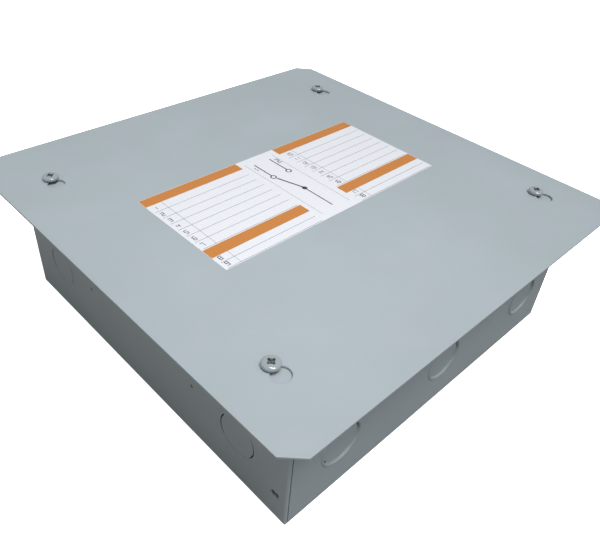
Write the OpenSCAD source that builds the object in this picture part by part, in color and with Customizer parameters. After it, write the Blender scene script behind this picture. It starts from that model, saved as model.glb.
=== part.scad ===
// Flush-mount manual transfer switch in a sheet-steel enclosure.
// Lying on its back: +Z comes out through the cover, +Y is up when it hangs on a wall, +X is to the viewer's right.
// The origin is the middle of the back panel, on the wall face. All sizes are in millimetres.

/* [Enclosure] */
// Outside width of the box
box_w = 335; // [327:1:345]
// Outside height of the box
box_h = 341; // [335:1:350]
// Depth of the box, back face to the front flange
box_d = 123.6; // [121:0.1:130]
// Steel sheet thickness of the box
sheet_t = 1.5; // [1.3:0.1:1.8]
// Outside radius of the sheet bends
bend_r = 2; // [1.9:0.1:3]
// Width of the front return flange
flange_w = 20; // [18:0.5:22]
// Radius of the four wall fixing holes in the back
wall_hole_r = 3.5; // [2.5:0.1:4]
// Spacing of the wall fixing holes, both ways
wall_hole_pitch = 280; // [270:1:286]

/* [Cover] */
// Side of the square cover plate
cover_s = 394; // [380:1:410]
// Thickness of the cover plate
cover_t = 1.9; // [1.5:0.1:2.2]
// Leg of the corner cuts
corner_cut = 12.7; // [8:0.1:20]
// Sideways distance of the cover screws from the middle
screw_x = 157.5; // [156:0.5:158.5]
// Up and down distance of the cover screws from the middle
screw_y = 136; // [125:0.5:140]
// Width of the narrow end of each keyhole
key_slot_w = 7; // [6.5:0.1:8]
// Diameter of the wide end of each keyhole
key_hole_d = 13.8; // [13.7:0.1:14.4]
// Distance from the narrow end to the wide end
key_drop = 9; // [8:0.1:13]
// Diameter of a cover screw's head
head_d = 13; // [11.5:0.1:13.2]
// How far the middle of the cover hangs below the middle of the box
cover_drop = 2; // [0:0.1:4]
// Gap under the head of a cover screw, left slack for the keyholes
head_gap = 0.9; // [0.1:0.1:1.5]

/* [Knockouts] */
// Diameter of a knockout, for 1 inch trade conduit
ko_d = 34.6; // [28:0.1:36]
// Height of the knockout centres above the back face
ko_z = 48.3; // [45:0.1:56]
// Distance of the outer knockouts from the middle of a wall
ko_off = 119.5; // [110:0.5:122]
// Width of the sheared ring round each slug
ko_gap = 0.1; // [0.1:0.05:0.4]
// How far an end wall's slug is pushed in
ko_sink = 0.7; // [0.65:0.05:0.9]
// How far a side wall's slug is pushed in
side_sink = 0.1; // [0.1:0.05:0.6]
// Height of the raised lip round the end walls' knockouts
lip_h = 0.9; // [0.4:0.1:1.2]
// Half angle of the slits at the ends of the side walls' slugs
ko_slit = 36; // [12:1:46]

/* [Label] */
// Width of the directory label
label_w = 243; // [200:1:250]
// Height of the directory label
label_h = 112; // [80:1:115]

/* [Switch] */
// Distance of each breaker's middle from the box middle
brk_y = 58; // [57:0.5:60]
// Width of a two-pole breaker
brk_w = 52; // [52:0.5:53]
// Length of a breaker case
brk_l = 84; // [84:0.5:85]
// Tilt of a toggle each side of upright
tog_tilt = 22; // [20:0.5:23]
// Opening angle of the contact blades
blade_open = 25; // [20:1:26]
// Length of a wire lug
lug_len = 20; // [18:1:22]
// Radius of the wire hole in a main lug
lug_r = 4.75; // [4:0.05:5]

/* [Hidden] */
$fn = 48;

paint = [0.66, 0.70, 0.72];
zinc = [0.74, 0.75, 0.76];
copper = [0.72, 0.42, 0.26];
alu = [0.78, 0.79, 0.80];
black = [0.10, 0.10, 0.11];

t = sheet_t;
a = box_w / 2;                       // half width
b = box_h / 2;                       // half height
be = b - t;                          // inner face of an end wall
weld_w = 14;                         // width of the side walls' weld flanges
seam_x = bend_r + 0.4;               // from a corner of the box to the seam beside it
seam_w = 0.9;                        // width of that seam
foot_r = 0.5;                        // rounding of the end walls' bottom edges
cover_gap = 0.1;                     // paint film between flange and cover
cz = box_d + cover_gap;              // underside of the cover
pan_z = 14;                          // underside of the pan
pz = pan_z + 1.5;                    // top of the pan
pan_w = 230;
pan_h = 270;
stud_x = 100;
stud_y = 120;

// breaker, from the pan up
base_h = 42;
case_h = 58;
wall = 3;
piv = [2, 20];                       // blade pivot, y and z
tog_z = 46;                          // toggle pivot height
drum_r = 13;
lever_t = 9;
lever_r = 30;
pole_x = 13;
bar_w = 12;
bar_t = 3;

// the side walls' knockouts are sheared flush, the end walls' stand in a low raised lip
ko_r = ko_d / 2;
side_w = 0.55;                       // half width of the slits in the side walls
end_w = 0.45;                        // half width of the slits in the end walls
end_slit = 18;                       // half angle of the slits in the end walls
end_turn = 22;                       // and how far they are turned, down on the left and up on the right
end_shift = 2.5;                     // the end walls' knockouts sit to the right of the middle

// carriage
carr_z = 82;                         // underside of the carriage plate
carr_t = 2;
carr_h = carr_z + carr_t / 2 - pz - tog_z;   // plate above the toggle pivot
half_travel = carr_h * tan(tog_tilt);
carr_y = -half_travel;               // the carriage rests down, with the utility side on
pin_y = 32;
pin_z = 78.5;
rail_x = 29;

function arc(cx, cy, r, a0, a1, n = 5) = [for (i = [0:n]) [cx + r * cos(a0 + (a1 - a0) * i / n), cy + r * sin(a0 + (a1 - a0) * i / n)]];

// a box from its lowest to its highest corner
module slab(lo, hi) { translate(lo) cube([hi[0] - lo[0], hi[1] - lo[1], hi[2] - lo[2]]); }
// a cylinder along X from x0 to x1 at [y, z]
module rod_x(x0, x1, p, r) { translate([x0, p[0], p[1]]) rotate([0, 90, 0]) cylinder(h = x1 - x0, r = r); }
// a cylinder along Y from y0 to y1 at [x, z]
module rod_y(y0, y1, p, r) { translate([p[0], y1, p[1]]) rotate([90, 0, 0]) cylinder(h = y1 - y0, r = r); }
// a profile drawn in Y and Z, from x0 to x1
module yz(x0, x1) { translate([x0, 0, 0]) rotate([90, 0, 90]) linear_extrude(x1 - x0) children(); }
// a profile drawn in X and Z, from y0 to y1
module xz(y0, y1) { translate([0, y1, 0]) rotate([90, 0, 0]) linear_extrude(y1 - y0) children(); }
module four(x, y) { for (sx = [-1, 1], sy = [-1, 1]) translate([sx * x, sy * y, 0]) children(); }
// the four cover screws' places, a little below and to the right of the middle of the box
module at_screws() { translate([1.2, -1.4, 0]) four(screw_x, screw_y) children(); }

// ---------- enclosure ----------
// back and both side walls in one folded sheet, seen along Y
module wrap_profile() {
  r = bend_r; ri = bend_r - t; d = box_d; f = a - flange_w;
  polygon(concat([[-f, d]], arc(-a + r, d - r, r, 90, 180), arc(-a + r, r, r, 180, 270),
    arc(a - r, r, r, 270, 360), arc(a - r, d - r, r, 0, 90), [[f, d], [f, d - t]],
    arc(a - r, d - r, ri, 90, 0), arc(a - r, r, ri, 360, 270),
    arc(-a + r, r, ri, 270, 180), arc(-a + r, d - r, ri, 180, 90), [[-f, d - t]]));
}
// weld flange at one corner of a side wall, seen along Z
module corner_profile() {
  r = bend_r;
  polygon(concat([[a, be - r]], arc(a - r, b - r, r, 0, 90), [[a - seam_x, b], [a - seam_x, be], [a - weld_w, be],
    [a - weld_w, be - t], [a - t, be - t], [a - t, be - r]]));
}
// the same flange stood up, its foot rounded like the bends beside it
module corner_post() {
  intersection() {
    linear_extrude(box_d - bend_r) corner_profile();
    xz(0, b + 1) polygon(concat(arc(a - bend_r, bend_r, bend_r, 270, 360), [[a, box_d], [a - 20, box_d], [a - 20, 0]]));
    yz(0, a + 1) polygon(concat(arc(b - foot_r, foot_r, foot_r, 270, 360), [[b, box_d], [b - 20, box_d], [b - 20, 0]]));
  }
}
module box_wrap() {
  color(paint) difference() {
    union() {
      xz(-(be - bend_r), be - bend_r) wrap_profile();
      slab([-a + bend_r, be - bend_r, 0], [a - bend_r, be, t]);
      slab([-a + bend_r, -be, 0], [a - bend_r, -be + bend_r, t]);
      for (mx = [0, 1], my = [0, 1]) mirror([mx, 0, 0]) mirror([0, my, 0]) {
        corner_post();
        slab([a - bend_r - 0.2, be - bend_r - 0.2, 0.7], [a - t + 0.1, be - 0.1, t]);
      }
    }
    // knockouts, nail holes and short slots in the side walls
    for (s = [-1, 1], y = [-ko_off, ko_off]) on_side(s, y) ko_cut(ko_slit, side_w, 0);
    for (s = [-1, 1], y = [-69, 69]) rod_x(s * a - 3, s * a + 3, [y, 55.1], 1.6);
    for (s = [-1, 1]) {
      slab([s * a - 3, -159.5 - 1.9, 26.3 - 1.5], [s * a + 3, -159.5 + 1.9, 26.3 + 1.5]);
      for (e = [-1.9, 1.9], z = [-0.8, 0.8]) rod_x(s * a - 3, s * a + 3, [-159.5 + e, 26.3 + z], 1.7);
    }
    // cover screw holes in the flanges, wall fixing holes in the back
    at_screws() translate([0, 0, box_d - 4]) cylinder(h = 8, r = 3.4);
    four(wall_hole_pitch / 2, wall_hole_pitch / 2) translate([0, 0, -1]) cylinder(h = 5, r = wall_hole_r);
  }
}
// an end wall's sheet with its front flange, seen along X, from -w to w
module end_sheet(w) {
  r = bend_r; ri = bend_r - t; d = box_d;
  yz(-w, w) polygon(concat(arc(b - foot_r, foot_r, foot_r, -90, 0), arc(b - r, d - r, r, 0, 90), [[b - flange_w, d], [b - flange_w, d - t]],
    arc(b - r, d - r, ri, 90, 0), [[b - t, 0]]));
}
module end_wall() {
  d = box_d; w = a - seam_x - seam_w;
  difference() {
    union() {
      end_sheet(w);
      // the seams are closed at the foot
      intersection() {
        end_sheet(w + seam_w - 0.1);
        slab([-a, be, -1], [a, b + 1, 1.2]);
      }
      for (x = [-ko_off, 0, ko_off]) on_end(1, x) ko_lip();
    }
    for (s = [-1, 1]) slab([s > 0 ? a - flange_w - 0.8 : -w - 1, b - flange_w - 1, 1], [s > 0 ? w + 1 : -(a - flange_w - 0.8), be, d + 1]);
    for (x = [-ko_off, 0, ko_off]) on_end(1, x) { ko_cut(end_slit, end_w, -end_turn); ko_flare(); }
    // front corners cut back where the flanges meet
    for (s = [-1, 1]) xz(b - 4, b + 3) polygon([[s * (w + 1), d - 13], [s * w, d - 13], [s * (w - 3), d - 3], [s * (w - 3), d + 1], [s * (w + 1), d + 1]]);
  }
}
module top_end_wall() { color(paint) end_wall(); }
module bottom_end_wall() { color(paint) mirror([0, 1, 0]) end_wall(); }

// places on a side wall and on an end wall, the outer face at z = 0 and looking out along +Z
module on_side(s, y) { translate([s * a, y, ko_z]) rotate([0, s * 90, 0]) rotate([0, 0, 90]) children(); }
module on_end(s, x) { translate([x + end_shift, s * b, ko_z]) rotate([-s * 90, 0, 0]) children(); }
// the slits at the two ends of a knockout, over an angle w each way and h to each side, turned by q0
module ko_slits(w, h, q0) {
  for (q = [q0, q0 + 180]) rotate([0, 0, q]) translate([0, 0, -t - 4]) linear_extrude(t + 8)
    polygon(concat(arc(0, 0, ko_r + h, -w, w, 12), arc(0, 0, ko_r - h, w, -w, 12)));
}
// the opening of a knockout in its wall
module ko_cut(w, h, q0) {
  translate([0, 0, -t - 2]) cylinder(h = t + 4, r = ko_r);
  ko_slits(w, h, q0);
}
// the raised lip round an end wall's knockout, and the flare inside it
module ko_lip() {
  rotate_extrude() polygon([[ko_r - 0.5, -0.4], [ko_r + 3, -0.4], [ko_r + 3, 0], [ko_r + 2.2, lip_h], [ko_r - 0.5, lip_h]]);
}
module ko_flare() {
  translate([0, 0, -0.6]) cylinder(h = lip_h + 1.6, r1 = ko_r, r2 = ko_r + 0.9 * (lip_h + 1.6) / (lip_h + 0.6));
}
// one knockout slug with its two ties, above and below
module slug(w, h, sink, q0) {
  r = ko_r - ko_gap;
  difference() {
    translate([0, 0, -sink - t]) cylinder(h = t, r = r);
    ko_slits(w, h, q0);
  }
  for (q = [90, 270]) rotate([0, 0, q]) slab([r - 0.8, -0.8, -t - 0.1], [ko_r + 0.15, 0.8, -t + 0.3]);
}
module knockout_slugs() {
  color(paint) {
    for (s = [-1, 1], y = [-ko_off, ko_off]) on_side(s, y) slug(ko_slit, side_w, side_sink, 0);
    for (s = [-1, 1], x = [-ko_off, 0, ko_off]) on_end(s, x) slug(end_slit, end_w, ko_sink, -s * end_turn);
  }
}
module cover_weld_nuts() {
  color(zinc) at_screws() translate([0, 0, box_d - t - 5]) difference() {
    rotate([0, 0, 30]) cylinder(h = 5, r = 5.8, $fn = 6);
    translate([0, 0, -1]) cylinder(h = 7, r = 3.05);
  }
}

// ---------- pan and bars ----------
module pan_studs() { color(zinc) four(stud_x, stud_y) translate([0, 0, t]) cylinder(h = 22, r = 2.95); }
module pan_spacers() {
  color(zinc) four(stud_x, stud_y) translate([0, 0, t]) difference() {
    cylinder(h = pan_z - t, r = 6);
    translate([0, 0, -1]) cylinder(h = 16, r = 3.2);
  }
}
module mounting_pan() {
  color(zinc) difference() {
    union() {
      slab([-pan_w / 2, -pan_h / 2, pan_z], [pan_w / 2, pan_h / 2, pz]);
      for (s = [-1, 1]) slab([s * pan_w / 2 - 0.75, -pan_h / 2, pan_z - 8], [s * pan_w / 2 + 0.75, pan_h / 2, pz]);
    }
    four(stud_x, stud_y) translate([0, 0, 10]) cylinder(h = 10, r = 3.3);
    for (y = [-brk_y - 30, -brk_y + 30, brk_y - 30, brk_y + 30]) translate([0, y, 10]) cylinder(h = 10, r = 2.6);
    four(37, 36.5) translate([0, 0, 10]) cylinder(h = 10, r = 2.6);
    for (s = [-1, 1]) translate([81, s * 35, 10]) cylinder(h = 10, r = 2.6);
    for (s = [-1, 1]) translate([bar_x, -bar_yc + s * 45, 10]) cylinder(h = 10, r = 2.6);
    four(26.5, brk_y + 54) translate([0, 0, 10]) cylinder(h = 10, r = 2.1);
  }
}
module pan_nuts() {
  color(zinc) four(stud_x, stud_y) translate([0, 0, pz]) difference() {
    union() { cylinder(h = 5, r = 5.8, $fn = 6); cylinder(h = 1.2, r = 7); }
    translate([0, 0, -1]) cylinder(h = 8, r = 3.0);
  }
}
// a terminal bar along Y with cross holes, middle at y = 0
bar_len = 100;
bar_holes = [for (i = [-4:4]) i * 9];
module bar_block(z0, h) {
  difference() {
    slab([-7, -bar_len / 2, z0], [7, bar_len / 2, z0 + h]);
    for (y = bar_holes) {
      rod_x(-8, 8, [y, z0 + h * 0.42], 2.9);
      translate([0, y, z0 + h * 0.42]) cylinder(h = h, r = 2.5);
    }
    for (s = [-1, 1]) translate([0, s * 45, z0 - 1]) cylinder(h = h + 2, r = 2.6);
  }
}
module bar_screws(z0, h, foot) {
  for (y = bar_holes) translate([0, y, z0 + h * 0.42 + 3.1]) difference() {
    union() { cylinder(h = h * 0.58 - 1.9, r = 2.45); translate([0, 0, h * 0.58 - 3.05]) cylinder(h = 2.2, r = 3.4); }
    slab([-4, -0.5, h * 0.58 - 2], [4, 0.5, h]);
  }
  for (s = [-1, 1]) translate([0, s * 45, 0]) difference() {
    union() { translate([0, 0, foot]) cylinder(h = z0 + h - foot, r = 2.4); translate([0, 0, z0 + h]) cylinder(h = 2.6, r = 4.4); }
    slab([-5, -0.6, z0 + h + 1.2], [5, 0.6, z0 + h + 4]);
  }
}
n_z = 27.5;
g_z = 19.5;
bar_x = -85;
bar_yc = 62;
module neutral_bar() { color(alu) translate([bar_x, bar_yc, 0]) bar_block(n_z, 13); }
module neutral_bar_insulators() {
  color([0.86, 0.84, 0.78]) for (s = [-1, 1]) translate([bar_x, bar_yc + s * 45, pz]) difference() {
    union() { cylinder(h = n_z - pz, r = 5.6); cylinder(h = 3, r = 8); translate([0, 0, 5]) cylinder(h = 2.5, r = 7); }
    translate([0, 0, 4]) cylinder(h = 20, r = 2.6);
  }
}
module neutral_bar_screws() { color(zinc) translate([bar_x, bar_yc, 0]) bar_screws(n_z, 13, pz + 5); }
module ground_bar() { color(alu) translate([bar_x, -bar_yc, 0]) bar_block(g_z, 13); }
module ground_bar_feet() {
  color(zinc) for (s = [-1, 1]) translate([bar_x, -bar_yc + s * 45, pz]) difference() {
    slab([-7, -5, 0], [7, 5, g_z - pz]);
    translate([0, 0, -1]) cylinder(h = 10, r = 2.6);
  }
}
module ground_bar_screws() { color([0.20, 0.50, 0.28]) translate([bar_x, -bar_yc, 0]) bar_screws(g_z, 13, pan_z - 3); }

// ---------- breakers, drawn once about their own middle on the pan, line side to +Y ----------
module at_utility() { translate([0, brk_y, pz]) children(); }
module at_generator() { translate([0, -brk_y, pz]) rotate([0, 0, 180]) children(); }
post_xy = [19.5, 35.5];
module brk_base() {
  hw = brk_w / 2; hl = brk_l / 2;
  difference() {
    union() {
      difference() {
        slab([-hw, -hl, 0], [hw, hl, base_h]);
        slab([-hw + wall, -hl + wall, wall], [hw - wall, hl - wall, base_h + 1]);
      }
      for (sx = [-1, 1], sy = [-1, 1])
        slab([sx > 0 ? 16 : -hw + 1, sy > 0 ? 32 : -hl + 1, 10], [sx > 0 ? hw - 1 : -16, sy > 0 ? hl - 1 : -32, base_h]);
    }
    for (sx = [-1, 1]) slab([sx * pole_x - 6.3, -hl - 1, wall], [sx * pole_x + 6.3, hl + 1, wall + bar_t + 0.3]);
    four(post_xy[0], post_xy[1]) translate([0, 0, 26]) cylinder(h = 30, r = 1.5);
    rod_x(-hw - 1, hw + 1, piv, 2.05);
    for (y = [-30, 30]) translate([0, y, -1]) cylinder(h = 6, r = 2.6);
  }
}
module brk_cover() {
  hw = brk_w / 2; hl = brk_l / 2;
  difference() {
    union() {
      difference() {
        slab([-hw, -hl, base_h], [hw, hl, case_h]);
        slab([-hw + wall, -hl + wall, base_h - 1], [hw - wall, hl - wall, case_h - wall]);
      }
      slab([-19, -15, case_h - 1], [19, 15, case_h + 2]);
      for (sx = [-1, 1], sy = [-1, 1])
        slab([sx > 0 ? 16 : -hw + 1, sy > 0 ? 32 : -hl + 1, base_h], [sx > 0 ? hw - 1 : -16, sy > 0 ? hl - 1 : -32, case_h - 1]);
    }
    slab([-15.6, -11.4, base_h + 1], [15.6, 11.4, case_h + 5]);
    four(post_xy[0], post_xy[1]) translate([0, 0, base_h - 1]) cylinder(h = 30, r = 1.6);
    rod_x(-hw - 1, hw + 1, [0, tog_z], 2.55);
    // shallow grooves that part the two poles, each side of the escutcheon
    for (s = [-1, 1]) slab([-0.8, s > 0 ? 15 : -hl - 1, case_h - 1.2], [0.8, s > 0 ? hl + 1 : -15, case_h + 1]);
  }
}
module screw_head(r, h, slot) {
  difference() {
    cylinder(h = h, r = r);
    slab([-r - 1, -slot / 2, h * 0.5], [r + 1, slot / 2, h + 1]);
  }
}
module brk_case_screws() {
  four(post_xy[0], post_xy[1]) { translate([0, 0, 27]) cylinder(h = case_h - 27, r = 1.45); translate([0, 0, case_h]) screw_head(2.9, 1.8, 0.8); }
}
module brk_line_contacts() {
  for (s = [-1, 1]) {
    slab([s * pole_x - bar_w / 2, 20, wall], [s * pole_x + bar_w / 2, brk_l / 2 + 0.5 + lug_len, wall + bar_t]);
    translate([s * pole_x, 24, wall + bar_t]) cylinder(h = 1.5, r = 3.2);
  }
}
lug_y0 = brk_l / 2 + 0.5;
lug_z0 = wall + bar_t;
module lug(len) { // wire hole along Y from y = 0, standing on z = 0
  difference() {
    slab([-8, 0, 0], [8, len, 18]);
    rod_y(-1, len + 1, [0, 8.2], lug_r);
    translate([0, len / 2, 8.2]) cylinder(h = 20, r = 4.6);
  }
}
module lug_screw(len) {
  translate([0, len / 2, 8.2 + lug_r + 0.3]) difference() {
    cylinder(h = 8, r = 4.5);
    translate([0, 0, 3.5]) cylinder(h = 8, r = 2.6, $fn = 6);
  }
}
module brk_lugs() { for (s = [-1, 1]) translate([s * pole_x, lug_y0, lug_z0]) lug(lug_len); }
module brk_lug_screws() { for (s = [-1, 1]) translate([s * pole_x, lug_y0, lug_z0]) lug_screw(lug_len); }
module brk_shelf() {
  y0 = brk_l / 2 + 0.1; y1 = lug_y0 + lug_len + 1.5;
  difference() {
    union() { slab([-31, y0, 0], [31, y1, wall]); slab([-1.5, y0, 0], [1.5, y1, 38]); }
    for (s = [-1, 1]) translate([s * 26.5, 54, -1]) cylinder(h = 6, r = 2.1);
  }
}
module brk_blade_pin() { rod_x(-brk_w / 2, brk_w / 2, piv, 2.0); }
module brk_toggle_pin() { rod_x(-brk_w / 2, brk_w / 2, [0, tog_z], 2.5); }
// toggle upright, its pivot at [0, tog_z]
module brk_toggle(tilt) {
  translate([0, 0, tog_z]) rotate([tilt, 0, 0]) difference() {
    union() {
      yz(-15, 15) intersection() { circle(r = drum_r); translate([-20, -6]) square([40, 40]); }
      yz(-13, 13) union() {
        translate([-lever_t / 2, 4]) square([lever_t, lever_r - lever_t / 2 - 4]);
        translate([0, lever_r - lever_t / 2]) circle(r = lever_t / 2);
      }
    }
    rod_x(-20, 20, [0, 0], 2.55);
    // finger grooves near the tip
    for (s = [-1, 1], z = [24.6, 27]) rod_x(-11, 11, [s * (lever_t / 2 + 0.35), z], 0.9);
  }
}
// moving parts of one breaker, blades shut, turned about the pivot by "open"
module about_piv(open) { translate([0, piv[0], piv[1]]) rotate([open, 0, 0]) translate([0, -piv[0], -piv[1]]) children(); }
module blade_outline() {
  translate([piv[0], piv[1]]) circle(r = 6);
  polygon([[2, 26], [14, 22], [19.5, 19], [19.5, 15], [29, 15], [29, 9.1], [20, 9.1], [2, 14]]);
}
module brk_blades() {
  for (s = [-1, 1]) difference() {
    union() {
      yz(s * pole_x - 2, s * pole_x + 2) blade_outline();
      translate([s * pole_x, 24, wall + bar_t + 1.55]) cylinder(h = 2.2, r = 3.0);
    }
    rod_x(s * pole_x - 4, s * pole_x + 4, piv, 2.05);
  }
}
module brk_crossbar() {
  difference() {
    union() {
      slab([-21, 9.5, 12], [21, 19, 27]);
      for (s = [-1, 1]) slab([s * pole_x - 4, 18, 23], [s * pole_x + 4, 28, 27]);
    }
    for (s = [-1, 1]) slab([s * pole_x - 2.05, 8, 10], [s * pole_x + 2.05, 19.6, 24.2]);
  }
}
function coil_pt(i, j, rc, rw, z0, pitch, n, m) = let (p = 360 * i / n, q = 360 * j / m)
  [(rc + rw * cos(q)) * cos(p), (rc + rw * cos(q)) * sin(p), z0 + pitch * i / n + rw * sin(q)];
module coil(rc, rw, z0, z1, turns) {
  n = 14; m = 8; k = turns * n; pitch = (z1 - z0 - 2 * rw) / turns;
  polyhedron(points = [for (i = [0:k], j = [0:m - 1]) coil_pt(i, j, rc, rw, z0 + rw, pitch, n, m)],
    faces = concat([for (i = [0:k - 1], j = [0:m - 1]) let (j2 = (j + 1) % m) [i * m + j, i * m + j2, (i + 1) * m + j2, (i + 1) * m + j]],
      [[for (j = [0:m - 1]) m - 1 - j]], [[for (j = [0:m - 1]) k * m + j]]));
}
module brk_springs() { for (s = [-1, 1]) translate([s * pole_x, 24, 0]) coil(2.6, 0.5, 15.05, 22.95, 4); }

module utility_breaker_base() { color(black) at_utility() brk_base(); }
module utility_breaker_cover() { color(black) at_utility() brk_cover(); }
module utility_case_screws() { color(zinc) at_utility() brk_case_screws(); }
module utility_line_contacts() { color(copper) at_utility() brk_line_contacts(); }
module utility_line_lugs() { color(alu) at_utility() brk_lugs(); }
module utility_lug_screws() { color(zinc) at_utility() brk_lug_screws(); }
module utility_terminal_shelf() { color(black) at_utility() brk_shelf(); }
module utility_blade_pin() { color(zinc) at_utility() brk_blade_pin(); }
module utility_toggle_pin() { color(zinc) at_utility() brk_toggle_pin(); }
module generator_breaker_base() { color(black) at_generator() brk_base(); }
module generator_breaker_cover() { color(black) at_generator() brk_cover(); }
module generator_case_screws() { color(zinc) at_generator() brk_case_screws(); }
module generator_line_contacts() { color(copper) at_generator() brk_line_contacts(); }
module generator_line_lugs() { color(alu) at_generator() brk_lugs(); }
module generator_lug_screws() { color(zinc) at_generator() brk_lug_screws(); }
module generator_terminal_shelf() { color(black) at_generator() brk_shelf(); }
module generator_blade_pin() { color(zinc) at_generator() brk_blade_pin(); }
module generator_toggle_pin() { color(zinc) at_generator() brk_toggle_pin(); }
module utility_toggle() { color(black) at_utility() brk_toggle(tog_tilt); }
module generator_toggle() { color(black) at_generator() brk_toggle(-tog_tilt); }
module utility_crossbar() { color([0.45, 0.16, 0.12]) at_utility() about_piv(0) brk_crossbar(); }
module utility_blades() { color(copper) at_utility() about_piv(0) brk_blades(); }
module utility_contact_springs() { color(zinc) at_utility() about_piv(0) brk_springs(); }
module generator_crossbar() { color([0.45, 0.16, 0.12]) at_generator() about_piv(blade_open) brk_crossbar(); }
module generator_blades() { color(copper) at_generator() about_piv(blade_open) brk_blades(); }
module generator_contact_springs() { color(zinc) at_generator() about_piv(blade_open) brk_springs(); }

// ---------- load side ----------
bus_z = pz + wall;
pad_x0 = 66;
pad_x1 = 96;
// two hinge cheeks at one breaker, in that breaker's own place
module cheeks(x) {
  for (x0 = [x - 5.5, x + 2.15]) difference() {
    yz(x0, x0 + 3.35) union() { translate([-4, wall + bar_t - 1]) square([12, piv[1] - wall - bar_t + 1]); translate([piv[0], piv[1]]) circle(r = 6); }
    rod_x(x0 - 1, x0 + 5, piv, 2.05);
  }
}
module bus_bar(x) {
  slab([x - bar_w / 2, -brk_y - 8, bus_z], [x + bar_w / 2, brk_y + 8, bus_z + bar_t]);
  at_utility() cheeks(x);
  at_generator() cheeks(-x);
}
module load_bus_l1() {
  color(copper) union() {
    bus_bar(pole_x);
    slab([pole_x, 3, bus_z], [pad_x0 + 6, 13, bus_z + bar_t]);
    slab([pad_x0, 4, bus_z], [pad_x1, 24, bus_z + bar_t]);
  }
}
module load_bus_l2() {
  z0 = bus_z; z1 = bus_z + bar_t; zt = bus_z + 12;
  color(copper) union() {
    bus_bar(-pole_x);
    xz(-13, -3) polygon([[-pole_x - 1, z0], [-7, z0], [-7, zt], [45, zt], [45, z0], [pad_x0 + 6, z0], [pad_x0 + 6, z1], [48, z1], [48, zt + bar_t], [-10, zt + bar_t], [-10, z1], [-pole_x - 1, z1]]);
    slab([pad_x0, -24, z0], [pad_x1, -4, z1]);
  }
}
module load_terminal_base() {
  color(black) difference() {
    union() {
      slab([62, -30, pz], [100, 30, bus_z]);
      slab([62, -1.6, pz], [100, 1.6, bus_z + 30]);
      for (s = [-1, 1]) {
        slab([62, s > 0 ? 27 : -30, pz], [100, s > 0 ? 30 : -27, bus_z + 16]);
        slab([73, s > 0 ? 28 : -40, pz], [89, s > 0 ? 40 : -28, pz + 4]);
      }
    }
    for (s = [-1, 1]) translate([81, s * 35, pz - 1]) cylinder(h = 6, r = 2.6);
  }
}
module load_base_screws() {
  color(zinc) for (s = [-1, 1]) translate([81, s * 35, 0]) {
    translate([0, 0, pan_z - 3]) cylinder(h = pz + 4 - pan_z + 3, r = 2.45);
    translate([0, 0, pz + 4]) screw_head(4.6, 2.6, 1.2);
  }
}
module at_load_lug(s) { translate([72, s * 14, bus_z + bar_t]) rotate([0, 0, -90]) children(); }
module load_lugs() { color(alu) for (s = [-1, 1]) at_load_lug(s) lug(lug_len); }
module load_lug_screws() { color(zinc) for (s = [-1, 1]) at_load_lug(s) lug_screw(lug_len); }

// ---------- transfer mechanism ----------
module rail() { // right-hand rail
  x0 = rail_x; x1 = rail_x + 2; s = half_travel + 0.3;
  difference() {
    union() {
      slab([x0, -48, pz], [x1, 48, 86]);
      for (q = [-1, 1]) slab([x0, q > 0 ? 25 : -48, pz], [x1 + 12, q > 0 ? 48 : -25, pz + 2]);
    }
    slab([x0 - 1, -22, pz - 1], [x1 + 1, 22, 58]);
    for (q = [-1, 1]) {
      slab([x0 - 1, q * pin_y - s, pin_z - 2.6], [x1 + 1, q * pin_y + s, pin_z + 2.6]);
      for (e = [-1, 1]) rod_x(x0 - 1, x1 + 1, [q * pin_y + e * s, pin_z], 2.6);
      translate([37, q * 36.5, pz - 1]) cylinder(h = 5, r = 2.6);
    }
  }
}
module guide_rail_right() { color(zinc) rail(); }
module guide_rail_left() { color(zinc) mirror([1, 0, 0]) rail(); }
module rail_screws() {
  color(zinc) four(37, 36.5) { translate([0, 0, pan_z - 3]) cylinder(h = pz + 2 - pan_z + 3, r = 2.45); translate([0, 0, pz + 2]) screw_head(4.6, 2.6, 1.2); }
}
module breaker_base_screws() {
  color(zinc) for (y = [-brk_y - 30, -brk_y + 30, brk_y - 30, brk_y + 30]) translate([0, y, 0]) {
    translate([0, 0, pan_z - 3]) cylinder(h = pz + wall - pan_z + 3, r = 2.45);
    translate([0, 0, pz + wall]) screw_head(4.6, 2.6, 1.2);
  }
}
module shelf_screws() {
  color(zinc) four(26.5, brk_y + 54) { translate([0, 0, pan_z - 2]) cylinder(h = pz + wall - pan_z + 2, r = 1.95); translate([0, 0, pz + wall]) screw_head(3.6, 2.2, 1); }
}
module transfer_carriage() {
  color(zinc) translate([0, carr_y, 0]) difference() {
    union() {
      slab([-28, -75, carr_z], [28, 75, carr_z + carr_t]);
      for (s = [-1, 1]) slab([s > 0 ? 26 : -28, -42, 74.6], [s > 0 ? 28 : -26, 42, carr_z + carr_t]);
    }
    for (s = [-1, 1]) slab([-14, s * brk_y - 5.7, carr_z - 1], [14, s * brk_y + 5.7, carr_z + carr_t + 1]);
    for (s = [-1, 1], q = [-1, 1]) rod_x(s * 27 - 3, s * 27 + 3, [q * pin_y, pin_z], 2.55);
    for (s = [-1, 1]) translate([s * 19, 0, carr_z - 1]) cylinder(h = 5, r = 2.1);
  }
}
module carriage_pins() {
  color(zinc) translate([0, carr_y, 0]) for (s = [0, 1], q = [-1, 1]) mirror([s, 0, 0]) {
    rod_x(26, 31.5, [q * pin_y, pin_z], 2.5);
    rod_x(31.4, 33.6, [q * pin_y, pin_z], 4.5);
  }
}
grip_z = 104;
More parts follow.
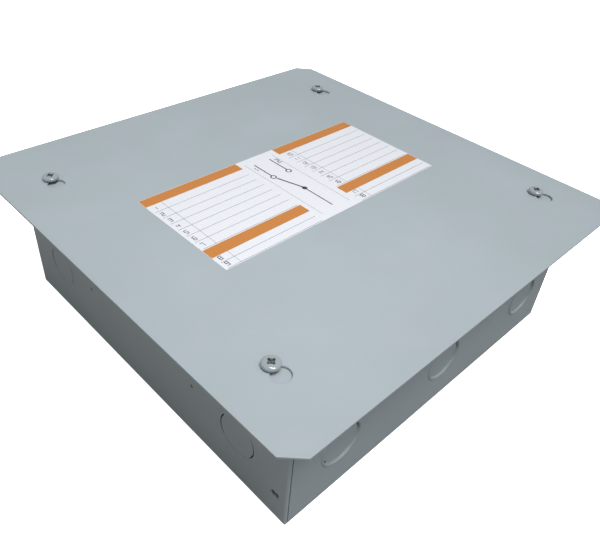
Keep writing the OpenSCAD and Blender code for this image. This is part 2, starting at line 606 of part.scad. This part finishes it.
module transfer_grip() {
  z0 = carr_z + carr_t;
  color([0.72, 0.10, 0.09]) translate([0, carr_y, 0]) difference() {
    union() {
      slab([-26, -10, z0], [26, 10, z0 + 5]);
      slab([-11, -7, z0], [11, 7, grip_z]);
      rod_x(-22, 22, [0, grip_z], 8);
      for (s = [-1, 1]) translate([s * 22, 0, grip_z]) sphere(r = 8);
    }
    for (s = [-1, 1]) translate([s * 19, 0, z0 - 1]) cylinder(h = 4.6, r = 2.1);
  }
}
module grip_screws() { // driven from below, heads under the carriage plate
  color(zinc) translate([0, carr_y, 0]) for (s = [-1, 1]) translate([s * 19, 0, carr_z]) mirror([0, 0, 1]) {
    translate([0, 0, -carr_t - 3.2]) cylinder(h = carr_t + 3.2, r = 1.95);
    screw_head(3.6, 2.2, 1);
  }
}

// ---------- cover ----------
module keyhole() {
  circle(r = key_slot_w / 2);
  translate([-key_slot_w / 2, -key_drop]) square([key_slot_w, key_drop]);
  translate([0, -key_drop]) circle(r = key_hole_d / 2);
}
module cover_plate() {
  h = cover_s / 2; c = corner_cut;
  color(paint) translate([0, 0, cz]) linear_extrude(cover_t) difference() {
    translate([0, -cover_drop]) polygon([[h - c, h], [-h + c, h], [-h, h - c], [-h, -h + c], [-h + c, -h], [h - c, -h], [h, -h + c], [h, h - c]]);
    at_screws() keyhole();
  }
}
module directory_label() {
  color([0.95, 0.95, 0.94]) translate([1.6, 7.9 - cover_drop, cz + cover_t]) translate([-label_w / 2, -label_h / 2, 0]) cube([label_w, label_h, 0.25]);
}
head_h = 3.5;
module cover_screw() { // pan head, its underside at z = 0
  r = head_d / 2;
  side = 1.4;                          // height of the head's upright rim
  sh = 3.1;                            // width of the rounded shoulder
  rise = 1.7;                          // height of the rounded shoulder
  difference() {
    union() {
      rotate_extrude() polygon(concat([[0, 0], [r - 0.25, 0], [r, 0.25]], [for (i = [0:8]) [r - sh + sh * cos(i * 10.5), side + rise * sin(i * 10.5)]],
        [[(r - sh) * 0.55, head_h - 0.14], [0, head_h]]));
      translate([0, 0, -17]) cylinder(h = 17.5, r = 2.95);
      translate([0, 0, -18.4]) cylinder(h = 1.4, r1 = 1.9, r2 = 2.95);
    }
    for (q = [0, 90]) rotate([0, 0, q]) slab([-3.1, -0.9, 0.8], [3.1, 0.9, 6]);
    translate([0, 0, -1.2]) cylinder(h = 5.6, r1 = 1.0, r2 = 2.7);
  }
}
module cover_screws() { color(paint) at_screws() translate([0, 0, cz + cover_t + head_gap]) cover_screw(); }

box_wrap();
top_end_wall();
bottom_end_wall();
knockout_slugs();
cover_weld_nuts();
pan_studs();
pan_spacers();
mounting_pan();
pan_nuts();
neutral_bar();
neutral_bar_insulators();
neutral_bar_screws();
ground_bar();
ground_bar_feet();
ground_bar_screws();
utility_breaker_base();
utility_breaker_cover();
utility_case_screws();
utility_line_contacts();
utility_line_lugs();
utility_lug_screws();
utility_terminal_shelf();
utility_blade_pin();
utility_toggle_pin();
generator_breaker_base();
generator_breaker_cover();
generator_case_screws();
generator_line_contacts();
generator_line_lugs();
generator_lug_screws();
generator_terminal_shelf();
generator_blade_pin();
generator_toggle_pin();
load_bus_l1();
load_bus_l2();
load_terminal_base();
load_lugs();
load_lug_screws();
load_base_screws();
guide_rail_left();
guide_rail_right();
rail_screws();
breaker_base_screws();
shelf_screws();
cover_plate();
directory_label();
cover_screws();
transfer_carriage();
carriage_pins();
transfer_grip();
grip_screws();
utility_toggle();
generator_toggle();
utility_crossbar();
utility_blades();
utility_contact_springs();
generator_crossbar();
generator_blades();
generator_contact_springs();
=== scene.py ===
"""Looks for a flush-mount manual transfer switch: enamelled steel box, keyhole-hung cover, and the breakers, bars and interlock inside."""

import math

import bmesh
import bpy
from mathutils import Matrix, Vector


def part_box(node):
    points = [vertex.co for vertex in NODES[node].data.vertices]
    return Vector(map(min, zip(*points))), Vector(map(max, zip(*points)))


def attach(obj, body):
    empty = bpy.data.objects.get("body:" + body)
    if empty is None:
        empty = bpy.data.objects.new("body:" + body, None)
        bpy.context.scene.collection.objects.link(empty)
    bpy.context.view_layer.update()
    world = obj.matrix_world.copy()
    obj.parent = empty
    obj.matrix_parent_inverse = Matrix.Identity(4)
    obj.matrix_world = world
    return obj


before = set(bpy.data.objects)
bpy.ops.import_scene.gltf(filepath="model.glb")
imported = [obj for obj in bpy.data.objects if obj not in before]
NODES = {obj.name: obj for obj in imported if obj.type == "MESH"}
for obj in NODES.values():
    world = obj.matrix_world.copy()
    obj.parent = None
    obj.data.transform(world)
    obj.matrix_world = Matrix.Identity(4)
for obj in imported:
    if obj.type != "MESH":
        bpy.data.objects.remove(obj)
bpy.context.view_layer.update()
MM = 0.001


# ---------------------------------------------------------------- node helpers
class Mat:
    """A principled material with short helpers for its node tree."""

    def __init__(self, name):
        self.m = bpy.data.materials.new(name)
        self.m.use_nodes = True
        self.nt = self.m.node_tree
        self.p = self.nt.nodes["Principled BSDF"]
        self.co = self.nt.nodes.new("ShaderNodeTexCoord").outputs["Object"]

    def set(self, **values):
        for k, v in values.items():
            self.p.inputs[k.replace("_", " ")].default_value = v
        return self

    def link(self, a, b):
        self.nt.links.new(a, b)

    def stretch(self, sx, sy, sz):
        n = self.nt.nodes.new("ShaderNodeMapping")
        n.inputs["Scale"].default_value = (sx, sy, sz)
        self.link(self.co, n.inputs["Vector"])
        return n.outputs["Vector"]

    def noise(self, scale, detail=2.0, rough=0.5, vec=None, distort=0.0):
        n = self.nt.nodes.new("ShaderNodeTexNoise")
        n.inputs["Scale"].default_value = scale
        n.inputs["Detail"].default_value = detail
        n.inputs["Roughness"].default_value = rough
        n.inputs["Distortion"].default_value = distort
        self.link(vec or self.co, n.inputs["Vector"])
        return n.outputs["Fac"]

    def voronoi(self, scale, out="Color", vec=None, feature="F1"):
        n = self.nt.nodes.new("ShaderNodeTexVoronoi")
        n.feature = feature
        n.inputs["Scale"].default_value = scale
        self.link(vec or self.co, n.inputs["Vector"])
        return n.outputs[out]

    def ramp(self, fac, stops):
        n = self.nt.nodes.new("ShaderNodeValToRGB")
        e = n.color_ramp.elements
        while len(e) < len(stops):
            e.new(0.5)
        for el, (pos, col) in zip(e, stops):
            el.position = pos
            el.color = (*col, 1) if len(col) == 3 else col
        self.link(fac, n.inputs["Fac"])
        return n.outputs["Color"]

    def remap(self, fac, a0, a1, b0, b1):
        n = self.nt.nodes.new("ShaderNodeMapRange")
        n.inputs["From Min"].default_value = a0
        n.inputs["From Max"].default_value = a1
        n.inputs["To Min"].default_value = b0
        n.inputs["To Max"].default_value = b1
        self.link(fac, n.inputs["Value"])
        return n.outputs["Result"]

    def mix(self, fac, a, b, kind="MIX"):
        n = self.nt.nodes.new("ShaderNodeMix")
        n.data_type = "RGBA"
        n.blend_type = kind
        for sock, v in (("Factor", fac), ("A", a), ("B", b)):
            i = next(s for s in n.inputs if s.name == sock and s.enabled)
            if isinstance(v, (int, float)):
                i.default_value = v
            elif isinstance(v, tuple):
                i.default_value = (*v, 1) if len(v) == 3 else v
            else:
                self.link(v, i)
        return next(s for s in n.outputs if s.name == "Result" and s.enabled)

    def math(self, op, a, b=None):
        n = self.nt.nodes.new("ShaderNodeMath")
        n.operation = op
        for i, v in enumerate((a, b)):
            if v is None:
                continue
            if isinstance(v, (int, float)):
                n.inputs[i].default_value = v
            else:
                self.link(v, n.inputs[i])
        return n.outputs[0]

    def bump(self, height, strength, distance):
        n = self.nt.nodes.new("ShaderNodeBump")
        n.inputs["Strength"].default_value = strength
        n.inputs["Distance"].default_value = distance
        self.link(height, n.inputs["Height"])
        self.link(n.outputs["Normal"], self.p.inputs["Normal"])

    def xyz(self):
        n = self.nt.nodes.new("ShaderNodeSeparateXYZ")
        self.link(self.co, n.inputs[0])
        return n.outputs

    def color(self, sock):
        self.link(sock, self.p.inputs["Base Color"])

    def rough(self, sock):
        self.link(sock, self.p.inputs["Roughness"])


def srgb(r, g, b):
    f = lambda c: c / 12.92 if c <= 0.04045 else ((c + 0.055) / 1.055) ** 2.4
    return tuple(f(v / 255.0) for v in (r, g, b))


def dim(c, k):
    return tuple(min(1.0, v * k) for v in c)


# ---------------------------------------------------------------- materials
def enamel(name, base, tint, rough=(0.34, 0.42), peeled=0.10, painted_shade=None):
    """Baked blue-grey enamel: broad mottling, faint warm and cool drift, orange peel."""
    m = Mat(name).set(Metallic=0.0, IOR=1.48)
    broad = m.noise(11.0, 3.0, 0.55)
    drift = m.noise(27.0, 2.0, 0.5, m.stretch(1.0, 1.3, 0.8))
    fine = m.noise(420.0, 2.0, 0.6)
    c = m.ramp(broad, [(0.30, dim(base, 0.955)), (0.70, dim(base, 1.035))])
    c = m.mix(m.remap(drift, 0.35, 0.65, 0.0, 0.55), c, tint, "MIX")
    c = m.mix(m.remap(fine, 0.3, 0.7, 0.0, 0.10), c, dim(base, 0.86))
    # painted shade: where the mask is set, the colour is darkened to dark grey to stand in for shade, as in the screws'
    # drive recesses
    if painted_shade:
        c = m.mix(painted_shade(m), c, (0.150, 0.160, 0.166))
    m.color(c)
    m.rough(m.remap(m.noise(300.0, 2.0), 0.3, 0.7, *rough))
    peel = m.math("ADD", m.noise(650.0, 1.0, 0.4), m.math("MULTIPLY", m.noise(2300.0, 1.0), 0.25))
    m.bump(peel, peeled, 0.00012)
    return m.m


def plated(name, base, rough=(0.22, 0.38), scale=500.0, tint=None):
    """Bright zinc plate: small clouds of haze and hairline tool marks."""
    m = Mat(name).set(Metallic=1.0)
    cloud = m.noise(scale, 3.0, 0.6)
    c = m.ramp(cloud, [(0.25, dim(base, 0.82)), (0.75, dim(base, 1.06))])
    if tint:
        c = m.mix(m.remap(m.noise(scale * 0.35, 2.0), 0.4, 0.7, 0.0, 0.45), c, tint)
    m.color(c)
    m.rough(m.remap(m.noise(scale * 1.7, 2.0), 0.3, 0.7, *rough))
    m.bump(m.noise(scale * 4.0, 2.0), 0.08, 0.00006)
    return m.m


def galvanised(name, base):
    """Galvanised sheet: interlocking spangle with a soft bloom."""
    m = Mat(name).set(Metallic=0.85)
    cell = m.voronoi(230.0, "Color", m.stretch(1.0, 0.72, 1.0))
    bw = m.nt.nodes.new("ShaderNodeRGBToBW")
    m.link(cell, bw.inputs[0])
    spangle = bw.outputs[0]
    bloom = m.noise(18.0, 4.0, 0.6)
    c = m.ramp(spangle, [(0.15, dim(base, 0.88)), (0.85, dim(base, 1.06))])
    c = m.mix(m.remap(bloom, 0.45, 0.75, 0.0, 0.35), c, dim(base, 1.12))
    m.color(c)
    m.rough(m.math("ADD", m.remap(spangle, 0.0, 1.0, 0.36, 0.46), m.remap(bloom, 0.3, 0.7, -0.03, 0.05)))
    m.bump(m.math("ADD", m.math("MULTIPLY", spangle, 0.4), m.noise(900.0, 2.0)), 0.06, 0.00008)
    return m.m


def copper(name, base):
    """Rolled copper bar: long drawing lines, thin brown tarnish."""
    m = Mat(name).set(Metallic=1.0)
    lines = m.noise(60.0, 2.0, 0.5, m.stretch(28.0, 1.0, 28.0))
    tarnish = m.noise(45.0, 4.0, 0.6)
    c = m.ramp(lines, [(0.3, dim(base, 0.86)), (0.7, dim(base, 1.08))])
    c = m.mix(m.remap(tarnish, 0.5, 0.72, 0.0, 0.6), c, (base[0] * 0.55, base[1] * 0.42, base[2] * 0.40))
    m.color(c)
    m.rough(m.remap(tarnish, 0.35, 0.7, 0.22, 0.42))
    m.bump(lines, 0.08, 0.00008)
    return m.m


def extruded(name, base):
    """Tin-plated aluminium extrusion: drawing lines and dull patches."""
    m = Mat(name).set(Metallic=1.0)
    lines = m.noise(80.0, 2.0, 0.5, m.stretch(1.0, 24.0, 24.0))
    patch = m.noise(120.0, 3.0, 0.6)
    m.color(m.ramp(patch, [(0.3, dim(base, 0.84)), (0.7, dim(base, 1.04))]))
    m.rough(m.remap(patch, 0.3, 0.7, 0.30, 0.44))
    m.bump(m.math("ADD", lines, m.math("MULTIPLY", patch, 0.4)), 0.10, 0.00008)
    return m.m


def moulded(name, base, rough=(0.40, 0.55), grain=2600.0, depth=0.00005, dusty=0.10, ior=1.5):
    """Moulded plastic: spark-eroded grain, flow clouds, a little dust."""
    m = Mat(name).set(Metallic=0.0, IOR=ior)
    flow = m.noise(38.0, 3.0, 0.55)
    c = m.ramp(flow, [(0.3, dim(base, 0.88)), (0.7, dim(base, 1.14))])
    grey = tuple(min(1.0, v * 0.75 + 0.09) for v in base)
    c = m.mix(m.remap(m.noise(95.0, 4.0, 0.65), 0.5, 0.8, 0.0, dusty), c, grey)
    m.color(c)
    m.rough(m.remap(m.noise(210.0, 2.0), 0.3, 0.7, *rough))
    m.bump(m.noise(grain, 2.0, 0.6), 0.22, depth)
    return m.m


def film(name, base):
    """White label film: faint fibre, satin face."""
    m = Mat(name).set(Metallic=0.0, IOR=1.46)
    fibre = m.noise(240.0, 3.0, 0.6, m.stretch(1.0, 3.0, 1.0))
    m.color(m.ramp(fibre, [(0.3, dim(base, 0.965)), (0.7, dim(base, 1.01))]))
    m.rough(m.remap(m.noise(160.0, 2.0), 0.3, 0.7, 0.34, 0.46))
    m.bump(fibre, 0.06, 0.00004)
    return m.m


def ink(name, base, rough=(0.38, 0.52)):
    """Screen-printed ink with slightly uneven cover."""
    m = Mat(name).set(Metallic=0.0, IOR=1.5)
    lay = m.noise(700.0, 3.0, 0.6)
    m.color(m.ramp(lay, [(0.3, dim(base, 0.92)), (0.7, dim(base, 1.06))]))
    m.rough(m.remap(m.noise(500.0, 2.0), 0.3, 0.7, *rough))
    m.bump(lay, 0.06, 0.00003)
    return m.m


ENAMEL = enamel("grey_enamel", (0.385, 0.432, 0.462), (0.372, 0.436, 0.452))


def drive_recess(m):
    """Mask for painted shade: one patch inside the drive recess of each cover screw, where the colour is darkened to
    stand in for the shade in the recess.
    """
    box = NODES["cover_screws"].bound_box
    lo, hi = ([f(c[i] for c in box) for i in range(3)] for f in (min, max))
    x, y, z = m.xyz()
    d = [m.math("SUBTRACT", m.math("ABSOLUTE", m.math("SUBTRACT", v, (lo[i] + hi[i]) / 2)), (hi[i] - lo[i]) / 2 - 6.5 * MM) for i, v in ((0, x), (1, y))]
    far = m.math("SQRT", m.math("ADD", m.math("MULTIPLY", d[0], d[0]), m.math("MULTIPLY", d[1], d[1])))
    near = m.remap(far, 3.2 * MM, 3.5 * MM, 0.9, 0.0)
    deep = m.remap(z, hi[2] - 0.9 * MM, hi[2] - 0.6 * MM, 1.0, 0.0)
    return m.math("MULTIPLY", near, deep)


# cover screw paint, with painted shade darkening the drive recesses
SCREWPAINT = enamel("screw_enamel", (0.322, 0.366, 0.384), (0.312, 0.362, 0.376), (0.10, 0.16), 0.04, drive_recess)
SCREWPAINT.node_tree.nodes["Principled BSDF"].inputs["IOR"].default_value = 1.8
ZINC = plated("zinc_plate", (0.70, 0.715, 0.71))
DARKZINC = plated("steel_plain", (0.52, 0.53, 0.54), (0.28, 0.42), 700.0)
GREEN = plated("green_zinc", (0.06, 0.30, 0.11), (0.32, 0.46), 600.0)
GALV = galvanised("galvanised_sheet", (0.56, 0.58, 0.60))
COPPER = copper("copper_bar", (0.78, 0.40, 0.24))
ALU = extruded("tinned_aluminium", (0.70, 0.71, 0.72))
BLACK = moulded("black_moulding", (0.020, 0.020, 0.022))
TOGGLE = moulded("toggle_moulding", (0.012, 0.012, 0.013), (0.26, 0.38), 1800.0, 0.00003, 0.05)
RED = moulded("red_moulding", (0.50, 0.022, 0.018), (0.28, 0.40), 1500.0, 0.00003, 0.05)
BROWN = moulded("brown_moulding", (0.17, 0.045, 0.028))
CREAM = moulded("cream_insulator", (0.62, 0.56, 0.44), (0.42, 0.56))
FILM = film("label_film", (0.750, 0.760, 0.800))
ORANGE = ink("orange_ink", (0.555, 0.207, 0.041))
DARKINK = ink("dark_ink", (0.055, 0.058, 0.066))
GREYINK = ink("grey_ink", (0.30, 0.31, 0.34))
WHITEINK = ink("white_ink", (0.80, 0.80, 0.78))

LOOK = {}
for mat, names in (
    (ENAMEL, "box_wrap top_end_wall bottom_end_wall knockout_slugs cover_plate"),
    (SCREWPAINT, "cover_screws"),
    (ZINC, "neutral_bar_screws utility_case_screws generator_case_screws pan_nuts rail_screws shelf_screws load_base_screws carriage_pins"),
    (
        DARKZINC,
        "cover_weld_nuts pan_studs pan_spacers ground_bar_feet breaker_base_screws grip_screws utility_lug_screws generator_lug_screws load_lug_screws "
        "utility_blade_pin generator_blade_pin utility_toggle_pin generator_toggle_pin utility_contact_springs generator_contact_springs",
    ),
    (GALV, "mounting_pan guide_rail_left guide_rail_right transfer_carriage"),
    (ALU, "neutral_bar ground_bar utility_line_lugs generator_line_lugs load_lugs"),
    (COPPER, "utility_line_contacts generator_line_contacts load_bus_l1 load_bus_l2 utility_blades generator_blades"),
    (BLACK, "utility_breaker_base utility_breaker_cover utility_terminal_shelf generator_breaker_base generator_breaker_cover generator_terminal_shelf load_terminal_base"),
    (TOGGLE, "utility_toggle generator_toggle"),
    (RED, "transfer_grip"),
    (BROWN, "utility_crossbar generator_crossbar"),
    (CREAM, "neutral_bar_insulators"),
    (GREEN, "ground_bar_screws"),
    (FILM, "directory_label"),
):
    for n in names.split():
        LOOK[n] = mat

# edge rounding of each carried-over piece, in millimetres
ROUND = {
    "box_wrap": 0.35, "top_end_wall": 0.35, "bottom_end_wall": 0.35, "knockout_slugs": 0.12, "cover_plate": 0.40,
    "cover_screws": 0.14, "mounting_pan": 0.3, "guide_rail_left": 0.35, "guide_rail_right": 0.35, "transfer_carriage": 0.4,
    "transfer_grip": 1.2, "utility_toggle": 0.8, "generator_toggle": 0.8,
    "utility_breaker_base": 0.7, "generator_breaker_base": 0.7, "utility_breaker_cover": 0.8, "generator_breaker_cover": 0.8,
    "utility_terminal_shelf": 0.5, "generator_terminal_shelf": 0.5, "load_terminal_base": 0.6,
    "utility_line_lugs": 0.6, "generator_line_lugs": 0.6, "load_lugs": 0.6, "neutral_bar": 0.5, "ground_bar": 0.5,
    "load_bus_l1": 0.4, "load_bus_l2": 0.4, "utility_line_contacts": 0.3, "generator_line_contacts": 0.3,
    "pan_nuts": 0.3, "carriage_pins": 0.4, "neutral_bar_insulators": 0.5, "ground_bar_feet": 0.4,
    "neutral_bar_screws": 0.2, "ground_bar_screws": 0.2, "rail_screws": 0.3, "shelf_screws": 0.25, "load_base_screws": 0.3,
    "utility_case_screws": 0.2, "generator_case_screws": 0.2, "utility_lug_screws": 0.3, "generator_lug_screws": 0.3, "load_lug_screws": 0.3,
    "utility_crossbar": 0.4, "generator_crossbar": 0.4, "utility_blades": 0.25, "generator_blades": 0.25, "cover_weld_nuts": 0.25,
}

for name, obj in NODES.items():
    obj.data.materials.clear()
    obj.data.materials.append(LOOK[name])
    w = ROUND.get(name)
    if not w:
        continue
    weld = obj.modifiers.new("weld", "WELD")
    weld.merge_threshold = 2e-6
    flat = obj.modifiers.new("flats", "DECIMATE")
    flat.decimate_type = "DISSOLVE"
    flat.angle_limit = math.radians(0.6)
    bev = obj.modifiers.new("edges", "BEVEL")
    bev.width = w * MM
    bev.segments = 2
    bev.limit_method = "ANGLE"
    bev.angle_limit = math.radians(32)
    bev.use_clamp_overlap = True
    bev.miter_outer = "MITER_ARC"
    nor = obj.modifiers.new("shade", "WEIGHTED_NORMAL")
    nor.mode = "FACE_AREA"
    nor.weight = 50


# ---------------------------------------------------------------- printed pieces
class Sheet:
    """Flat printed shapes, each a closed thin prism standing on a plane z = z0, gathered in one mesh."""

    def __init__(self, z0, h):
        self.bm = bmesh.new()
        self.z0, self.h = z0, h

    def prism(self, pts):
        area = sum(a[0] * b[1] - b[0] * a[1] for a, b in zip(pts, pts[1:] + pts[:1]))
        if area < 0:
            pts = pts[::-1]
        lo = [self.bm.verts.new((x * MM, y * MM, self.z0)) for x, y in pts]
        hi = [self.bm.verts.new((x * MM, y * MM, self.z0 + self.h)) for x, y in pts]
        self.bm.faces.new(hi)
        self.bm.faces.new(lo[::-1])
        k = len(pts)
        for i in range(k):
            j = (i + 1) % k
            self.bm.faces.new((lo[i], lo[j], hi[j], hi[i]))

    def rect(self, x0, y0, x1, y1, r=0.0):
        if r <= 0:
            self.prism([(x0, y0), (x1, y0), (x1, y1), (x0, y1)])
            return
        pts = []
        for cx, cy, a in ((x1 - r, y1 - r, 0), (x0 + r, y1 - r, 90), (x0 + r, y0 + r, 180), (x1 - r, y0 + r, 270)):
            pts += [(cx + r * math.cos(math.radians(a + q)), cy + r * math.sin(math.radians(a + q))) for q in (0, 30, 60, 90)]
        self.prism(pts)

    def stroke(self, x0, y0, x1, y1, w):
        dx, dy = x1 - x0, y1 - y0
        k = w / 2 / math.hypot(dx, dy)
        nx, ny = -dy * k, dx * k
        self.prism([(x0 + nx, y0 + ny), (x0 - nx, y0 - ny), (x1 - nx, y1 - ny), (x1 + nx, y1 + ny)])

    def ring(self, cx, cy, r, w, n=28):
        a = [2 * math.pi * i / n for i in range(n)]
        lay = []
        for z in (self.z0, self.z0 + self.h):
            for rr in (r - w / 2, r + w / 2):
                lay.append([self.bm.verts.new(((cx + rr * math.cos(t)) * MM, (cy + rr * math.sin(t)) * MM, z)) for t in a])
        li, lo, hi, ho = lay
        for i in range(n):
            j = (i + 1) % n
            self.bm.faces.new((hi[i], ho[i], ho[j], hi[j]))
            self.bm.faces.new((li[i], li[j], lo[j], lo[i]))
            self.bm.faces.new((lo[i], lo[j], ho[j], ho[i]))
            self.bm.faces.new((li[i], hi[i], hi[j], li[j]))

    def disc(self, cx, cy, r, n=24):
        self.prism([(cx + r * math.cos(2 * math.pi * i / n), cy + r * math.sin(2 * math.pi * i / n)) for i in range(n)])

    # strokes of plain seven-segment style figures
    SEG = {"a": ((0, 2), (1, 2)), "b": ((1, 2), (1, 1)), "c": ((1, 1), (1, 0)), "d": ((0, 0), (1, 0)), "e": ((0, 1), (0, 0)), "f": ((0, 2), (0, 1)), "g": ((0, 1), (1, 1))}
    FIG = {"0": "abcdef", "1": "bc", "2": "abged", "3": "abgcd", "4": "fgbc", "5": "afgcd", "6": "afgedc", "7": "abc", "8": "abcdefg", "9": "abcdfg"}

    def figures(self, text, x, y, h, w, pen):
        for ch in text:
            for s in self.FIG[ch]:
                (ax, ay), (bx, by) = self.SEG[s]
                ax, bx = x + ax * w, x + bx * w
                ay, by = y + ay * h / 2, y + by * h / 2
                e = pen / 2
                if ay == by:
                    self.rect(min(ax, bx) - e, ay - e, max(ax, bx) + e, ay + e)
                else:
                    self.rect(ax - e, min(ay, by) + e, ax + e, max(ay, by) - e)
            x += w + pen * 2.2

    def done(self, name, material, body, slot):
        me = bpy.data.meshes.new(name)
        self.bm.normal_update()
        self.bm.to_mesh(me)
        self.bm.free()
        ob = bpy.data.objects.new(name, me)
        bpy.context.scene.collection.objects.link(ob)
        me.materials.append(material)
        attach(ob, body)
        return ob


lab_lo, lab_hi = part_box("directory_label")
LX0, LX1, LY0, LY1 = (lab_lo[0] / MM, lab_hi[0] / MM, lab_lo[1] / MM, lab_hi[1] / MM)
LZ = lab_hi[2]
bars, dark, grey = Sheet(LZ, 0.03 * MM), Sheet(LZ, 0.03 * MM), Sheet(LZ, 0.03 * MM)
# two circuit tables, each with two header bars and numbered, ruled rows
count = 1
for x0, x1 in ((LX0 + 0.3, LX0 + 100.0), (LX1 - 99.0, LX1 - 0.3)):
    top = LY1 - 0.3
    for head, rows, step in ((10.8, 7, 10.2), (11.4, 2, 8.0)):
        bars.rect(x0, top - head, x1, top)
        top -= head
        for r in range(rows):
            y = top - step
            grey.rect(x0 + 2.0, y - 0.25, x1 - 2.0, y + 0.25)
            dark.figures(str(count), x0 + 4.0, y + 2.6, 4.4, 2.3, 0.62)
            grey.rect(x0 + 14.0, y, x0 + 14.4, top)
            count += 1
            top = y
        top -= 1.2
# changeover diagram between the tables: two supplies, one blade, one load
cx = (LX0 + LX1) / 2
cy = (LY0 + LY1) / 2
for sx, fig in ((-1, "1"), (1, "2")):
    px = cx + sx * 9.0
    dark.stroke(px, cy + 44, px, cy + 21.2, 1.1)
    dark.ring(px, cy + 18.4, 2.4, 1.1)
    dark.figures(fig, px + (sx * 4.6) - (1.3 if sx < 0 else 1.3), cy + 34, 6.4, 2.6, 0.9)
dark.stroke(cx, cy - 10, cx - 7.9, cy + 14.8, 1.5)
dark.disc(cx, cy - 11.2, 2.4)
dark.stroke(cx, cy - 12, cx, cy - 44, 1.1)
grey.rect(cx - 16.5, cy - 48.5, cx - 16.1, cy + 48.5)
grey.rect(cx + 16.1, cy - 48.5, cx + 16.5, cy + 48.5)
bars.done("label_header_bars", ORANGE, "cover", "label_stock")
dark.done("label_figures", DARKINK, "cover", "label_stock")
grey.done("label_rules", GREYINK, "cover", "label_stock")

# on and off marks moulded beside each toggle
for side, node in ((1, "utility_breaker_cover"), (-1, "generator_breaker_cover")):
    lo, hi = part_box(node)
    yc = (lo[1] + hi[1]) / 2 / MM
    ztop = hi[2] - 2.0 * MM
    marks = Sheet(ztop, 0.06 * MM)
    marks.rect(-0.55 + 9, yc - side * 22 - 3.0, 0.55 + 9, yc - side * 22 + 3.0)
    marks.ring(9, yc + side * 22, 2.6, 1.0)
    marks.done("on_off_marks_" + node.split("_")[0], WHITEINK, "enclosure", "label_stock")


# ---------------------------------------------------------------- studio
def lamp(kind, name, energy, matrix=None, **kw):
    d = bpy.data.lights.new(name, kind)
    d.energy = energy
    for k, v in kw.items():
        setattr(d, k, v)
    o = bpy.data.objects.new(name, d)
    bpy.context.scene.collection.objects.link(o)
    if matrix is not None:
        o.matrix_world = matrix
    o.visible_camera = False
    return o


def look_from(p, target=(0, 0, 0.06)):
    p = Vector(p)
    q = (Vector(target) - p).to_track_quat("-Z", "Y")
    return Matrix.Translation(p) @ q.to_matrix().to_4x4()


scene = bpy.context.scene
scene.view_settings.view_transform = "Standard"
scene.view_settings.look = "None"
scene.view_settings.exposure = 0.0
scene.view_settings.gamma = 1.0

world = bpy.data.worlds.new("studio")
scene.world = world
world.use_nodes = True
bg = world.node_tree.nodes["Background"]
bg.inputs["Color"].default_value = (0.93, 0.97, 1.0, 1)
bg.inputs["Strength"].default_value = 0.406
# behind the floor's edge the backdrop is as white as the floor
wn = world.node_tree.nodes
white = wn.new("ShaderNodeBackground")
pick = wn.new("ShaderNodeMixShader")
for a, b in (
    (wn.new("ShaderNodeLightPath").outputs["Is Camera Ray"], pick.inputs[0]),
    (bg.outputs[0], pick.inputs[1]),
    (white.outputs[0], pick.inputs[2]),
    (pick.outputs[0], wn["World Output"].inputs["Surface"]),
):
    world.node_tree.links.new(a, b)
white.inputs["Color"].default_value = (1, 1, 1, 1)
white.inputs["Strength"].default_value = 1.05

lamp("SPOT", "key", 30.4, look_from((-0.09, -0.10, 1.75), (-0.09, -0.10, 0)), spot_size=math.radians(19), spot_blend=1.0, shadow_soft_size=0.20)
lamp("SUN", "left", 0.15, look_from((-0.96, -0.05, 0.27), (0, 0, 0)), angle=math.radians(30), color=(1.0, 0.76, 0.42))
lamp("SUN", "main", 2.08, look_from((0.0594, -0.3368, 0.9397), (0, 0, 0)), angle=math.radians(24))

bm = bmesh.new()
bmesh.ops.create_grid(bm, x_segments=1, y_segments=1, size=6.0)
me = bpy.data.meshes.new("studio_floor")
bm.to_mesh(me)
bm.free()
floor = bpy.data.objects.new("studio_floor", me)
floor.location.z = -0.0004
scene.collection.objects.link(floor)
fm = Mat("studio_floor").set(Roughness=0.9)
fm.p.inputs["Specular IOR Level"].default_value = 0.1
seen = fm.nt.nodes.new("ShaderNodeLightPath").outputs["Is Camera Ray"]
fm.color(fm.mix(seen, (0.25, 0.25, 0.25), (0.92, 0.92, 0.92)))
fm.p.inputs["Emission Color"].default_value = (1, 1, 1, 1)
fm.link(fm.math("MULTIPLY", seen, 1.05), fm.p.inputs["Emission Strength"])
me.materials.append(fm.m)

# camera: fitted to the picture, 600 x 551, focal length 631.4 pixels
cam = bpy.data.cameras.new("camera")
cam.sensor_fit = "HORIZONTAL"
cam.sensor_width = 36.0
cam.lens = 631.438 / 600.0 * 36.0
cam.shift_x = 0.00077
cam.shift_y = -0.01107
cam.clip_start = 0.01
cam.clip_end = 50.0
camo = bpy.data.objects.new("camera", cam)
scene.collection.objects.link(camo)
camo.matrix_world = Matrix(
    (
        (0.716826, 0.397306, -0.572982, -0.337802),
        (-0.693971, 0.486163, -0.531083, -0.322039),
        (0.067560, 0.778327, 0.624213, 0.408130),
        (0, 0, 0, 1),
    )
)
scene.camera = camo

bpy.context.view_layer.update()
